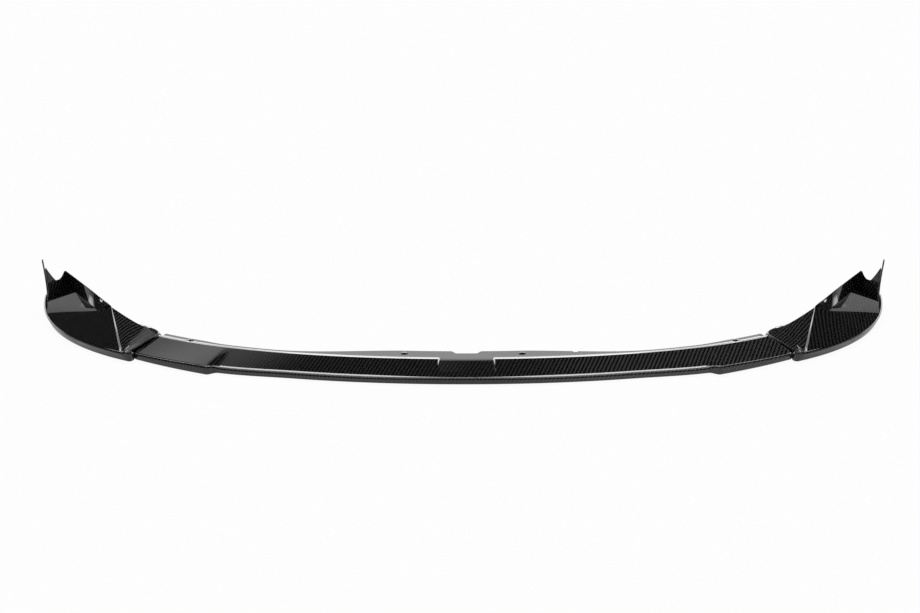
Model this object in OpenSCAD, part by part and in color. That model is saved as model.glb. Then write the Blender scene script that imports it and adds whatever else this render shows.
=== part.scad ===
// Front splitter lip in laminated carbon: a long centre splitter between two faceted end blades.
// X runs across the car, the front faces -Y and Z is up. The lip lies on its flat underside.
// All laminate is one wall thick. A splice plate inside each joint ties a blade to the centre.

/* [Overall] */
// Width over the outer edges of the two end blades
lip_span = 1820; // [1760:2:1900]
// How far the outline sweeps back from the nose to its widest place
sweep = 530; // [500:5:560]
// Height of the fin tips above the underside
lip_h = 112; // [105:1:125]
// Thickness of the carbon laminate
wall = 2.5; // [2:0.1:3]
// How full the outline is, where 2 gives an ellipse and more a squarer corner
outline_share = 2.5; // [2.3:0.01:2.6]

/* [Front edge] */
// Height of the front band at the nose
band_h = 15.5; // [14:0.5:18]
// How much higher the band is just outboard of the step
band_rise = 4; // [2:0.5:6]
// How far the top of the centre band stands forward of its foot
band_lean_w = 3; // [1:0.5:5]
// Radius of the lower edge of the band
edge_r = 3.5; // [3:0.5:5]
// Radius of the upper edge of the band
crown_r = 5; // [4:0.5:6]
// Where the front edge begins its step, as a share of the half span
step_share = 0.543; // [0.52:0.005:0.57]
// Length of the step along the front edge
step_run_w = 24; // [16:2:40]
// How far the front edge steps forward
step_out_w = 16; // [8:1:24]
// How far the run before the step is already filled out
lead_out_w = 8; // [4:1:12]

/* [Top panel] */
// Depth of the top panel at the nose, from the front edge to its rear crest
panel_depth = 84; // [76:2:104]
// How far the rear crest sweeps back towards the widest place
crest_sweep = 777; // [700:7:850]
// Where the rear crest would turn straight back, as a share of the half span
crest_half_share = 0.934; // [0.91:0.005:0.98]
// How full the line of the rear crest is
crest_share = 4; // [3:0.1:5]
// Height of the rear crest at the nose
crest_h = 24; // [22:0.5:27]
// Height of the rear crest at the joints
crest_end_h = 19.5; // [18:0.5:22]
// Radius of the rear crest
crest_r = 4; // [3:0.5:5]

/* [Centre recess] */
// Width of the recess across its upper edges
recess_w = 124; // [90:2:140]
// Width of each side wall of the recess, seen from above
recess_wall_w = 8; // [6:0.5:12]
// Depth of the recess at its rear end
recess_depth = 4; // [2:0.5:4.5]
// How far the recess lies to the right of the middle
recess_shift = 7; // [0:1:14]

/* [Rear flange] */
// Depth of the flange behind the crest in the middle
flange_w = 50; // [44:1:56]
// Depth of the flange where it is narrowest
flange_waist_w = 18; // [16:1:30]
// Depth of the flange beside the joints
flange_end_w = 30; // [26:1:36]
// How far the flange lies below the crest
flange_drop = 4.5; // [3:0.5:6]
// Depth of the dip in the rear edge of the flange
dip_depth = 14; // [6:1:16]
// Width of that dip
dip_w = 66; // [54:2:90]
// Distance of each inner bolt hole from the middle, as a share of the half span
bolt_inner_share = 0.132; // [0.12:0.002:0.15]
// Distance of each outer bolt hole from the middle, as a share of the half span
bolt_outer_share = 0.622; // [0.6:0.002:0.63]
// Diameter of the bolt holes, clearance for M6
bolt_hole_d = 6.5; // [6:0.1:7]
// Diameter of the raised pad round each bolt hole
bolt_pad_d = 15; // [14:0.5:20]
// Distance of the locating notches from the middle, as a share of the half span
notch_at_share = 0.252; // [0.22:0.002:0.28]
// Diameter of the locating notches in the rear edge
notch_d = 12; // [8:1:16]

/* [Joints] */
// Distance of the joint from the middle at the front edge, as a share of the half span
joint_front_share = 0.736; // [0.73:0.001:0.74]
// Distance of the joint from the middle at the rear crest, as a share of the half span
joint_rear_share = 0.6945; // [0.685:0.0005:0.7]
// Length of the tongue of the centre splitter under each blade
tongue_len = 26; // [18:1:30]
// How far the tongue lies below the top panel
tongue_drop = 0.8; // [0.6:0.1:1.2]
// Gap left between parts that lie against each other
gap = 0.3; // [0.2:0.05:0.5]
// Length of each splice plate
plate_len = 72; // [68:1:80]
// Width of each splice plate
plate_w = 17; // [16:0.5:18]
// Thickness of each splice plate
plate_t = 2.5; // [2:0.1:3]
// Distance of the splice plate from the front edge
plate_inset = 8; // [8:0.5:10]
// Diameter of the joint screws, M5
screw_d = 5; // [4:0.5:5.5]
// Diameter of the countersunk screw heads
screw_head_d = 9.2; // [8.5:0.1:10]
// Clearance of the screws in their holes
screw_play = 0.3; // [0.2:0.05:0.5]
// Length of the joint screws
screw_len = 12.5; // [12:0.5:13]
// Distance of the inner screws from the joint line
screw_near = 12; // [10:1:14]
// Distance of the outer screws from the joint line
screw_far = 28; // [26:1:29]

/* [End blades] */
// Height of the band along the end blades
blade_band_h = 21; // [19:0.5:23]
// How much higher that band is at its rear end, so that the platform is flat
blade_rise = 5; // [2:0.5:7]
// How far the top of the blade band stands out from its foot
blade_lean_w = 6; // [4:0.5:8]
// How far the blade stands out from the outline at the joint
blade_out_w = 22; // [16:1:24]
// Height of the ridge top above the underside
ridge_h = 55; // [50:1:60]
// Width of the flat along the ridge
ridge_w = 5; // [3:0.5:8]
// Height of the inner corner of the platform
platform_h = 45; // [42:1:48]
// Height of the inner peak beside the notch
peak_h = 84; // [80:1:90]
// Height of the bottom of the notch
notch_h = 67; // [64:1:72]
// Height of the shoulder of the blade above the underside at the joint
shoulder_h = 23; // [22:0.5:25]
// Thickness of the fin
fin_t = 3; // [2.5:0.1:4]

/* [Return lips] */
// Width of the flat return lip under the centre splitter
lip_w = 30; // [28:1:40]
// Width of the flat return lip under the end blades
blade_lip_w = 42; // [40:1:50]
// Diameter of the fixing holes in the blade lips, clearance for M5
lip_hole_d = 5.5; // [5:0.1:6]

/* [Hidden] */

half_span = lip_span / 2;
step_x = step_share * half_span;
crest_half = crest_half_share * half_span;
bolt_inner_x = bolt_inner_share * half_span;
bolt_outer_x = bolt_outer_share * half_span;
notch_x = notch_at_share * half_span;
joint_front_x = joint_front_share * half_span;
joint_rear_x = joint_rear_share * half_span;
carbon = "#1d1e20";
steel = "#b9bcc0";
over = 1; // overrun of the cuts

// Small sizes of the panels and their hardware
crest_step_h = 1.2;    // fall of the crest just behind its top
flange_run_w = 12;     // length over which the flange falls from the crest
flange_lift_h = 1;     // rise of the rear edge of the flange
dip_slope = 12;        // width of each sloping side of the dip in the flange
pad_rise = 0.8;        // height of a bolt pad above the flange
bolt_inner_back = 38;  // distance of the inner bolt holes behind the crest
bolt_outer_back = 17;  // distance of the outer bolt holes behind the crest
washer_d = 10;
washer_t = 1;
nut_af = 8;            // width across the flats of a nut
nut_h = 4.5;
nut_collar_d = 7;      // locking collar on top of a nut
nut_collar_h = 1;
hex_socket_d = 3;
hex_socket_depth = 2;
plate_corner_r = 4;
return_w = 9;          // depth of the return behind the upper edge of a blade
return_drop_h = 3;     // fall of that return
ear_w = 10;            // depth of the flat ear behind the inner facet
seat = 0.05;           // gap between parts of a joint that are screwed together
mitre_limit = 0.25;    // keeps the wall from growing too thick at very sharp folds
washer_z = wall + plate_t + 2 * seat;

// Shares along the top panel, from its front edge to the crest
panel_shares = [0.12, 0.28, 0.46, 0.64, 0.82];
// Where the recess begins, as a share of the depth of the panel
recess_start_share = 0.26;
// Share of the step that is left where the front edge reaches the joint
step_left_share = 0.25;
// Where the run before the step begins to fill out, as a share of the half span
lead_share = 0.37;
// Where the flange begins and ends its waist, as shares of the distance to the outer bolts
waist_shares = [0.2, 0.7, 0.86, 1];

// Plan helpers: a smooth change from 0 to 1, a mean, a unit vector and a turn to the left
function ease(x, from, to) = let (s = min(1, max(0, (x - from) / (to - from)))) s * s * (3 - 2 * s);
function mix(a, b, s) = a + (b - a) * s;
function unit(v) = v / norm(v);
function left_of(v) = [-v.y, v.x];
function bend(a, b, c, s) = mix(mix(a, b, s), mix(b, c, s), s);

// Outline: distance back from the nose at a place x, on a superellipse
function swept(x, half, reach, power) = reach * (1 - pow(1 - pow(x / half, 2), 1 / power));

// Front edge of the centre splitter, with its step
function front_fill(x) =
    (lead_out_w * ease(x, lead_share * half_span, step_x) + step_out_w * ease(x, step_x, step_x + step_run_w))
    * mix(1, step_left_share, max(0, (x - step_x - step_run_w) / (joint_front_x - step_x - step_run_w)));
function front_y(x) = swept(x, half_span, sweep, outline_share) - front_fill(abs(x));
function crest_y(x) = panel_depth + swept(x, crest_half, crest_sweep, crest_share);
function crest_z(x) = mix(crest_h, crest_end_h, pow(x / joint_rear_x, 2));
function band_z(x) = band_h + band_rise * ease(abs(x), step_x, step_x + step_run_w)
    * (1 - ease(abs(x), step_x + step_run_w, joint_front_x + tongue_len));

// Depth of the flange at a place x
function flange_depth(x) = let (a = abs(x), w = waist_shares * bolt_outer_x)
    mix(flange_w, flange_waist_w, ease(a, w[0], w[1])) + (flange_end_w - flange_waist_w) * ease(a, w[2], w[3])
    - dip_depth * (1 - ease(abs(x - recess_shift), dip_w / 2 - dip_slope, dip_w / 2));

// Depth of the recess at a place x and at a share of the panel's depth
function recess(x, s) = recess_depth * max(0, (s - recess_start_share) / (1 - recess_start_share))
    * (1 - min(1, max(0, (abs(x - recess_shift) - recess_w / 2 + recess_wall_w) / recess_wall_w)));

// A band profile from the end of the return lip, round the lower edge, to the crown.
// Each point is [distance in from the front edge, height].
function band_profile(lip, lean, top) = concat(
    [[lip, 0]],
    [for (a = [0, 45, 90]) [edge_r * (1 - sin(a)), edge_r * (1 - cos(a))]],
    [for (a = [0, 45, 90]) [-lean + crown_r * (1 - cos(a)), top - crown_r * (1 - sin(a))]]);

// Section of the centre splitter whose front end is at a place x
function centre_row(x) = let (
        f = [x, front_y(x)],
        rx = x * joint_rear_x / joint_front_x,
        r = [rx, crest_y(rx)],
        d = unit(r - f),
        len = norm(r - f),
        top = band_z(x),
        start = crown_r - band_lean_w,
        crest = crest_z(rx),
        w = flange_depth(rx),
        profile = concat(
            band_profile(lip_w, band_lean_w, top),
            [for (s = panel_shares) [mix(start, len - crest_r, s), mix(top, crest, s) - recess(x, s)]],
            [[len - crest_r, crest - recess(x, 1)],
            [len, min(crest - crest_step_h, crest - recess(x, 1))],
            [len + flange_run_w, crest - flange_drop],
            [len + w, crest - flange_drop + flange_lift_h]]))
    [for (p = profile) [f.x + d.x * p[0], f.y + d.y * p[0], p[1]]];

// Places of the sections, close together across the step and at the walls of the recess
run_count = 12;
step_count = 7;
end_count = 6;
side_places = concat(
    [for (i = [0:run_count - 1]) mix(recess_w / 2 + 2 * recess_wall_w, step_x, i / run_count)],
    [for (i = [0:step_count]) step_x + step_run_w * i / step_count],
    [for (i = [1:end_count]) mix(step_x + step_run_w, joint_front_x, i / end_count)]);
half_places = [for (w = [dip_w - 2 * dip_slope, dip_w - dip_slope, dip_w, recess_w - 2 * recess_wall_w,
    recess_w]) w / 2];
recess_places = concat([for (i = [len(half_places) - 1:-1:0]) -half_places[i]], [0], half_places);
centre_places = concat([for (i = [len(side_places) - 1:-1:0]) -side_places[i]],
    [for (x = recess_places) recess_shift + x], side_places);

// The underside of a surface grid at an even thickness, offset along the normals of its faces
function face_normal(g, i, j) = let (n = cross(g[i + 1][j + 1] - g[i][j], g[i][j + 1] - g[i + 1][j])) unit(n);
function sum(v, i = 0) = i == len(v) - 1 ? v[i] : v[i] + sum(v, i + 1);
function mitred(normals) = let (n = sum(normals) / len(normals)) n / max(n * n, mitre_limit);
function under(g, t) = [for (i = [0:len(g) - 1]) [for (j = [0:len(g[0]) - 1]) let (o = mitred(
        [for (a = [i - 1, i], b = [j - 1, j])
            if (a >= 0 && b >= 0 && a < len(g) - 1 && b < len(g[0]) - 1) face_normal(g, a, b)]) * t)
    [g[i][j].x - o.x, g[i][j].y - o.y, max(0, g[i][j].z - o.z)]]];

function flat(g) = [for (row = g, p = row) p];

// A closed sheet between a surface grid and its underside
module sheet(g, u) {
    r = len(g);
    c = len(g[0]);
    n = r * c;
    grid_faces = [for (i = [0:r - 2], j = [0:c - 2]) let (a = i * c + j, b = a + c)
        each [[a, a + 1, b + 1], [a, b + 1, b], [n + a, n + b + 1, n + a + 1], [n + a, n + b, n + b + 1]]];
    row_faces = [for (j = [0:c - 2]) let (a = j, b = (r - 1) * c + j)
        each [[a, n + a, n + a + 1], [a, n + a + 1, a + 1], [b, b + 1, n + b + 1], [b, n + b + 1, n + b]]];
    column_faces = [for (i = [0:r - 2]) let (a = i * c, b = a + c - 1)
        each [[a, a + c, n + a + c], [a, n + a + c, n + a], [b, n + b, n + b + c], [b, n + b + c, b + c]]];
    polyhedron(concat(flat(g), flat(u)), concat(grid_faces, row_faces, column_faces));
}

// Centre splitter
centre_grid = [for (x = centre_places) centre_row(x)];

// The tongue carries the top panel on under a blade, a little lower
tongue_shares = [0.14, 0.3, 0.5, 0.7, 0.86];
function tongue_row(reach, s_drop) = let (
        f = [joint_front_x, front_y(joint_front_x)],
        r = [joint_rear_x, crest_y(joint_rear_x)],
        out = -left_of(unit(r - f)))
    [for (s = tongue_shares) let (p = mix(f, r, s) + out * reach)
        [p.x, p.y, mix(band_z(joint_front_x), crest_z(joint_rear_x), s) - s_drop]];
tongue_grid = [tongue_row(-tongue_len / 2, wall / 2), tongue_row(0, tongue_drop),
    tongue_row(tongue_len, tongue_drop)];

// Bolts through the rear flange
bolt_places = [for (side = [-1, 1], b = [[bolt_inner_x, bolt_inner_back], [bolt_outer_x, bolt_outer_back]])
    [side * b[0], crest_y(b[0]) + b[1], crest_z(b[0]) - flange_drop]];

module centre_splitter() {
    color(carbon) difference() {
        union() {
            sheet(centre_grid, under(centre_grid, wall));
            for (side = [0, 1]) mirror([side, 0, 0]) sheet(tongue_grid, under(tongue_grid, wall));
            for (b = bolt_places) translate([b.x, b.y, b.z - wall])
                cylinder(d = bolt_pad_d, h = wall + pad_rise + flange_lift_h, $fn = 48);
        }
        for (b = bolt_places) translate([b.x, b.y, 0])
            cylinder(d = bolt_hole_d, h = crest_h + over, $fn = 32);
        for (side = [-1, 1]) translate([side * notch_x, crest_y(notch_x) + flange_depth(notch_x), 0])
            cylinder(d = notch_d, h = crest_h + over, $fn = 32);
        for (side = [0, 1], x = [-screw_far, -screw_near]) mirror([side, 0, 0]) screw_hole(x);
    }
}

// End blades, modelled on the right-hand side.
// Places in plan are shares of the half span and of the sweep.
function place(shares, z) = [shares[0] * half_span, shares[1] * sweep, z];
ridge_top = place([0.815, 0.579], ridge_h);
platform_corner = place([0.846, 0.566], platform_h * 1.04);
platform_rear = place([0.944, 0.885], platform_h * 0.86);
upper_mid = place([0.84, 0.632], mix(ridge_h, peak_h, 0.155));
upper_bend = place([0.875, 0.688], mix(ridge_h, peak_h, 0.65));
peak = place([0.949, 0.857], peak_h);
fin_foot = place([0.984, 0.785], platform_h * 0.6);
notch_mid = place([0.965, 0.823], notch_h);
fin_tip = place([0.99, 0.823], lip_h);
wall_bend = place([0.978, 0.811], platform_h * 0.67);
joint_fold = place([0.7015, 0.411], shoulder_h * 1.1);
ear_top = place([0.714, 0.468], shoulder_h * 1.22);
upper_points = [ear_top, place([0.728, 0.481], shoulder_h * 1.17), place([0.743, 0.491], shoulder_h * 1.34),
    place([0.771, 0.511], ridge_h * 0.78), ridge_top];

// Angles along the outline at which the blade has its joint, ridge, crease and rear end
joint_angle = 47.9;
ridge_angle = 48.5;
crease_angle = 74;
rear_angle = 86;
function outline_at(a) = [half_span * sin(a), sweep * (1 - pow(cos(a), 2 / outline_share))];
angle_step = 0.1;
function outward_at(a) = -left_of(unit(outline_at(a + angle_step) - outline_at(a - angle_step)));
function blade_front(a) = outline_at(a)
    + outward_at(a) * blade_out_w * (1 - ease(a, joint_angle, rear_angle));

// Section of a blade: band, top surface up to the fold, crest line and its rear return.
// Where the fold is a number, it lies on the straight line from the band to the crest.
blade_shares = [0.2, 0.4, 0.6, 0.8];
wall_mid_share = 0.5;
ridge_fold_share = 0.93;
function inward_of(f, inward, p) = [f.x + inward.x * p[0], f.y + inward.y * p[0], p[1]];
function facet_start(f, inward, lean, top) = inward_of(f, inward, [crown_r - lean, top]);
function blade_row(f, inward, lip, lean, top, fold, crest, back, down) = let (
        start = facet_start(f, inward, lean, top),
        end = is_num(fold) ? mix(start, crest, fold) : fold,
        away = unit([crest.x - start.x, crest.y - start.y]))
    concat([for (p = band_profile(lip, lean, top)) inward_of(f, inward, p)],
        [for (s = blade_shares) mix(start, end, s)],
        [end, mix(end, crest, wall_mid_share), crest, inward_of(crest, away, [back, crest.z - down])]);

// A smooth curve through a list of points
function along(v, s) = let (
        n = len(v) - 1,
        i = min(n - 1, floor(s * n)),
        u = s * n - i,
        a = v[max(0, i - 1)], b = v[i], c = v[i + 1], d = v[min(n, i + 2)])
    (2 * b + (c - a) * u + (2 * a - 5 * b + 4 * c - d) * pow(u, 2) + (3 * b - a - 3 * c + d) * pow(u, 3)) / 2;

// The joint wall stands on the centre splitter and turns over into the inner facet
joint_f = [joint_front_x, front_y(joint_front_x)];
joint_r = [joint_rear_x, crest_y(joint_rear_x)];
joint_in = unit(joint_r - joint_f);
joint_out = -left_of(joint_in);
foot_f = joint_f + joint_out * gap - joint_in * (band_lean_w + gap);
foot_fold = [joint_r.x, joint_r.y, crest_z(joint_rear_x) + gap];
foot_crest = [joint_r.x - joint_in.y * crest_step_h, joint_r.y + crest_r, crest_z(joint_rear_x)];

// Where two lines meet in plan, each given by a point and a direction
function meet(p, d, q, e) = p + d * (((q - p) * left_of(e)) / (d * left_of(e)));
corner_f = meet(foot_f, joint_in, blade_front(joint_angle), left_of(outward_at(joint_angle)));
function turned(a, b, s, up) = [mix(a.x, b.x, s), mix(a.y, b.y, s), mix(a.z, b.z, up)];
wall_rows = 2;
corner_lip_w = 5; // width of the lip inside the front corner
turn_power = 2.4; // how quickly the joint wall turns over
joint_rows = [for (i = [0:wall_rows]) let (s = i / wall_rows, up = 1 - pow(1 - s, turn_power))
    blade_row(bend(foot_f, corner_f, blade_front(joint_angle), s),
        unit(mix(joint_out, -outward_at(joint_angle), s)), corner_lip_w, mix(0, blade_lean_w, s),
        mix(band_z(joint_front_x) + gap, shoulder_h, up),
        turned(foot_fold, joint_fold, s, up), turned(foot_crest, ear_top, s, up),
        return_w, return_drop_h)];

// The flat lip beside the joint, which carries the splice plate
joint_lip_w = 15;
module joint_lip() {
    edge = joint_f + joint_out * gap;
    linear_extrude(wall) polygon([for (p = [[corner_lip_w, 0], [lip_w, 0], [lip_w, joint_lip_w],
        [corner_lip_w, joint_lip_w]]) edge + joint_in * p[0] + joint_out * p[1]]);
}

// The inner facet, from the joint to the ridge. Behind its lowest part the return widens to a flat ear.
ear_shares = [0.2, 0.35, 0.7];
inner_count = 12;
inner_rows = [for (i = [1:inner_count]) let (
        s = i / inner_count,
        a = mix(joint_angle, ridge_angle, s),
        top = mix(shoulder_h, blade_band_h, s),
        crest = along(upper_points, s),
        start = facet_start(blade_front(a), -outward_at(a), blade_lean_w, top),
        line_end = mix(start, crest, ridge_fold_share),
        ear = ease(s, 0, ear_shares[0]) * (1 - ease(s, ear_shares[1], ear_shares[2])))
    blade_row(blade_front(a), -outward_at(a), blade_lip_w, blade_lean_w, top,
        mix(joint_fold, line_end, ease(s, 0, ear_shares[1])), crest,
        mix(return_w, ear_w, ear), mix(return_drop_h, flange_lift_h, ear))];

// The great front facet, from the ridge to the crease. A narrow flat runs along the ridge.
ridge_turn = ridge_w / half_span / cos(ridge_angle) * 180 / PI;
ridge_side = unit(upper_mid - ridge_top) * ridge_w;
front_facet_start = facet_start(blade_front(ridge_angle + ridge_turn), -outward_at(ridge_angle + ridge_turn),
    blade_lean_w, blade_band_h);
front_count = 8;
front_rows = [for (i = [0:front_count]) let (
        s = i / front_count,
        a = mix(ridge_angle + ridge_turn, crease_angle, s))
    blade_row(blade_front(a), -outward_at(a), blade_lip_w, blade_lean_w, blade_band_h,
        s == 0 ? ridge_fold_share : mix(mix(front_facet_start, ridge_top + ridge_side, ridge_fold_share),
            platform_corner, s), mix(ridge_top + ridge_side, upper_mid, s), return_w, return_drop_h)];

// The platform and the wall behind it, from the crease to the rear end
platform_count = 12;
platform_rows = [for (i = [1:platform_count]) let (
        s = i / platform_count,
        a = mix(crease_angle, rear_angle, s))
    blade_row(blade_front(a), -outward_at(a), blade_lip_w, blade_lean_w, blade_band_h + blade_rise * s,
        mix(platform_corner, platform_rear, s), bend(upper_mid, upper_bend, peak, s),
        return_w, return_drop_h)];
blade_grid = concat(joint_rows, inner_rows, front_rows, platform_rows);

// Inside the joint corner the laminate is laid thicker, so that its inner side turns more gently
corner_share = 0.7;
plain_under = under([for (i = [wall_rows:len(blade_grid) - 1]) blade_grid[i]], wall);
blade_under = concat([for (i = [0:wall_rows - 1]) [for (j = [0:len(blade_grid[0]) - 1])
    plain_under[0][j] + (blade_grid[i][j] - blade_grid[wall_rows][j]) * corner_share]], plain_under);

// The fin, standing on the outer margin of the platform
fin_front = [[fin_foot.x, fin_foot.y, platform_h * 0.55], place([0.99, 0.812], lip_h * 0.47),
    place([0.996, 0.823], lip_h * 0.79), fin_tip];
fin_rear = [place([0.998, 0.88], blade_band_h - wall / 2), place([1.001, 0.88], lip_h * 0.47),
    place([0.999, 0.866], lip_h * 0.79), place([0.992, 0.84], lip_h)];
fin_rows = 9;
fin_columns = 3;
fin_grid = [for (i = [0:fin_rows]) let (a = along(fin_front, i / fin_rows), b = along(fin_rear, i / fin_rows))
    [for (k = [0:fin_columns]) mix(a, b, k / fin_columns)]];

// The rear wall across the end of the platform, from the peak to the fin, with a rounded notch in its top.
// Its outer edge stands inside the fin.
notch_share = 0.42;
wall_turn_share = 0.8;
notch_powers = [2.2, 1.3]; // how steeply the notch rises to the peak and to the fin
function notch_z(s) = s < notch_share
    ? mix(notch_mid.z, peak.z, pow(1 - s / notch_share, notch_powers[0]))
    : mix(notch_mid.z, fin_tip.z, pow((s - notch_share) / (1 - notch_share), notch_powers[1]));
function notch_xy(s) = bend([peak.x, peak.y], [notch_mid.x, notch_mid.y] * 2 - ([peak.x, peak.y]
    + [fin_tip.x, fin_tip.y]) / 2, [fin_tip.x, fin_tip.y], s);
rear_rows = 16;
rear_columns = 5;
function wall_foot(s) = s < wall_turn_share ? mix(platform_rear, wall_bend, s / wall_turn_share)
    : mix(wall_bend, fin_foot, (s - wall_turn_share) / (1 - wall_turn_share));
rear_grid = [for (i = [0:rear_rows]) let (
        s = i / rear_rows,
        into = i == 0 ? wall : 0, // the inner end stands inside the wall behind the platform
        foot = wall_foot(s) - [into, 0, 2 * wall],
        edge = [notch_xy(s).x - into, notch_xy(s).y, notch_z(s) - into])
    [for (k = [0:rear_columns]) s == 1 ? along(fin_front, k / rear_columns) + [fin_t / 2, 0, 0]
        : mix(foot, edge, k / rear_columns)]];

// Fixing holes through the return lip, towards its inner edge
lip_hole_angles = [62, 76];
lip_hole_share = 0.68;

module right_end_blade() {
    color(carbon) difference() {
        union() {
            sheet(blade_grid, blade_under);
            joint_lip();
            sheet(rear_grid, under(rear_grid, wall));
            sheet(fin_grid, under(fin_grid, fin_t));
        }
        for (x = [screw_near, screw_far]) screw_hole(x);
        for (a = lip_hole_angles) let (p = blade_front(a) - outward_at(a) * blade_lip_w * lip_hole_share)
            translate([p.x, p.y, -over]) cylinder(d = lip_hole_d, h = wall + 2 * over, $fn = 32);
    }
}

// Splice plates and their screws, placed at a distance along the joint
module at_joint(x) {
    angle = atan2(joint_out.y, joint_out.x);
    translate([joint_f.x, joint_f.y, 0]) rotate([0, 0, angle])
        translate([x, plate_inset + plate_w / 2, 0]) children();
}
module screw_body(play, length) {
    cylinder(d = screw_d + 2 * play, h = length, $fn = 32);
    cylinder(d1 = screw_head_d + 2 * play, d2 = screw_d, h = wall, $fn = 32);
}
module screw_hole(x) { at_joint(x) screw_body(screw_play, 2 * wall + plate_t); }
screw_places = [-screw_far, -screw_near, screw_near, screw_far];

module right_joint_plate() {
    color(carbon) difference() {
        at_joint(0) translate([0, 0, wall + seat]) {
            linear_extrude(plate_t) square([plate_len, plate_w - 2 * plate_corner_r], center = true);
            linear_extrude(plate_t) square([plate_len - 2 * plate_corner_r, plate_w], center = true);
            for (x = [-1, 1], y = [-1, 1])
                translate([x * (plate_len / 2 - plate_corner_r), y * (plate_w / 2 - plate_corner_r), 0])
                    cylinder(r = plate_corner_r, h = plate_t, $fn = 32);
        }
        for (x = screw_places) at_joint(x)
            cylinder(d = screw_d + 2 * screw_play, h = 2 * wall + plate_t, $fn = 32);
    }
}

// Countersunk screws from below, flush with the underside
module joint_screw() {
    color(steel) difference() {
        union() {
            cylinder(d1 = screw_head_d, d2 = screw_d, h = wall - screw_play, $fn = 32);
            cylinder(d = screw_d, h = screw_len, $fn = 32);
        }
        translate([0, 0, -over]) cylinder(d = hex_socket_d, h = hex_socket_depth + over, $fn = 6);
    }
}
module joint_washer() {
    color(steel) difference() {
        cylinder(d = washer_d, h = washer_t, $fn = 32);
        translate([0, 0, -over]) cylinder(d = screw_d + 2 * screw_play, h = washer_t + 2 * over, $fn = 32);
    }
}
module joint_nut() {
    color(steel) difference() {
        union() {
            cylinder(d = nut_af / cos(30), h = nut_h - nut_collar_h, $fn = 6);
            cylinder(d = nut_collar_d, h = nut_h, $fn = 32);
        }
        translate([0, 0, -over]) cylinder(d = screw_d + 2 * seat, h = nut_h + 2 * over, $fn = 32);
    }
}
module at_each_screw(z) {
    for (side = [0, 1], x = screw_places) mirror([side, 0, 0]) at_joint(x) translate([0, 0, z]) children();
}

// The origin lies under the middle of the lip, on the plane of its underside
nose_y = min([for (p = flat(centre_grid)) p.y]);
tail_y = max([for (p = concat(flat(blade_grid), flat(fin_grid))) p.y]);
module in_frame() { translate([0, -(nose_y + tail_y) / 2, 0]) children(); }
module mirrored() { mirror([1, 0, 0]) children(); }

in_frame() centre_splitter();
in_frame() mirrored() right_end_blade();  // left_end_blade
in_frame() right_end_blade();
in_frame() mirrored() right_joint_plate();  // left_joint_plate
in_frame() right_joint_plate();
in_frame() at_each_screw(0) joint_screw();  // joint_screws
in_frame() at_each_screw(washer_z) joint_washer();  // joint_washers
in_frame() at_each_screw(washer_z + washer_t + seat) joint_nut();  // joint_nuts
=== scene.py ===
# %% [markdown]
# # A front splitter lip in lacquered carbon
#
# The real object is three thin carbon mouldings: a long centre splitter and two faceted end blades.
# They lie on a white studio floor and are seen from the front and a little above.
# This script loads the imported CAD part, lays a finely divided skin over each moulding, gives the skins
# the laminate's thickness, and then builds the woven carbon, the lacquer and the studio round them.

# %% Load the CAD part
import math
import bpy
from mathutils import Matrix, Vector


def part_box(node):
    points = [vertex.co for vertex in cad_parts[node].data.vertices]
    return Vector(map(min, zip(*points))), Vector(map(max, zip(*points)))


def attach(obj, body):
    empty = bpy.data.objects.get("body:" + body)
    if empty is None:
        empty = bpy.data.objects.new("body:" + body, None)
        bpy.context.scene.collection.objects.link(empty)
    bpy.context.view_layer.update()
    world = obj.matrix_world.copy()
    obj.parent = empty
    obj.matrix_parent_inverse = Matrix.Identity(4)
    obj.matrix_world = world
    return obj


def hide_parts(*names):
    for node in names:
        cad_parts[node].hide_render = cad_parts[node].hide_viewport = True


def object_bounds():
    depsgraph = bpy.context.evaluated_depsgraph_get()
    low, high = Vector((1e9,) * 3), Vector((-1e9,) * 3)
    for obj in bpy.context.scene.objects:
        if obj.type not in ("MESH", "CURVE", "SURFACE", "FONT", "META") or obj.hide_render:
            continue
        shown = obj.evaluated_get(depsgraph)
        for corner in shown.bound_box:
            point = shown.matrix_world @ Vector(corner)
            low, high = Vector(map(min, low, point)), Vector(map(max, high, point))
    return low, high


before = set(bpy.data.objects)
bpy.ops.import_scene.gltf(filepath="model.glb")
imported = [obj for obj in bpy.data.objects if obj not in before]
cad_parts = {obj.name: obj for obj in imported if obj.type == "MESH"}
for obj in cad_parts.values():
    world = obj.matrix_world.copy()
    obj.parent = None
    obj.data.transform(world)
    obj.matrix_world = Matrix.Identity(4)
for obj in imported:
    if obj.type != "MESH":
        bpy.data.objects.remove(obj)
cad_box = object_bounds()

print("CAD box", cad_box)

# %% [markdown]
# All sizes below are in millimetres, as a pattern maker would note them, and are turned into metres
# once, when a skin is laid. Places in plan are measured back from the nose of the lip. The CAD part's
# own box says where that nose is in the shared frame.

# %% Sizes of the mouldings
MM = 0.001
HALF_SPAN = 910
SWEEP = 530
FULLNESS = 2.5
WALL = 2.5
EDGE_R = 3.5
CROWN_R = 5
BAND_LEAN = 3
NOSE = -BAND_LEAN
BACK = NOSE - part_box("centre_splitter")[0].y / MM
print("distance from the nose line to the middle of the part", round(BACK, 2))


def ease(x, start, end):
    s = min(1, max(0, (x - start) / (end - start)))
    return s * s * (3 - 2 * s)


def mix(a, b, s):
    return a + (b - a) * s


def flat(v):
    return Vector((v[0], v[1], 0))


def left_of(v):
    return Vector((-v[1], v[0], 0))


def bend(a, b, c, s):
    return mix(mix(a, b, s), mix(b, c, s), s)


def swept(x, half, reach, fullness):
    return reach * (1 - (1 - (x / half) ** 2) ** (1 / fullness))


# %% [markdown]
# The centre splitter follows one sweeping curve in plan. Its front edge is straight in the middle,
# steps forward near each end, and runs on to the joint. The rear crest has a curve of its own.
# Writing both curves as small functions keeps every section of the skin on the same line.

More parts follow.
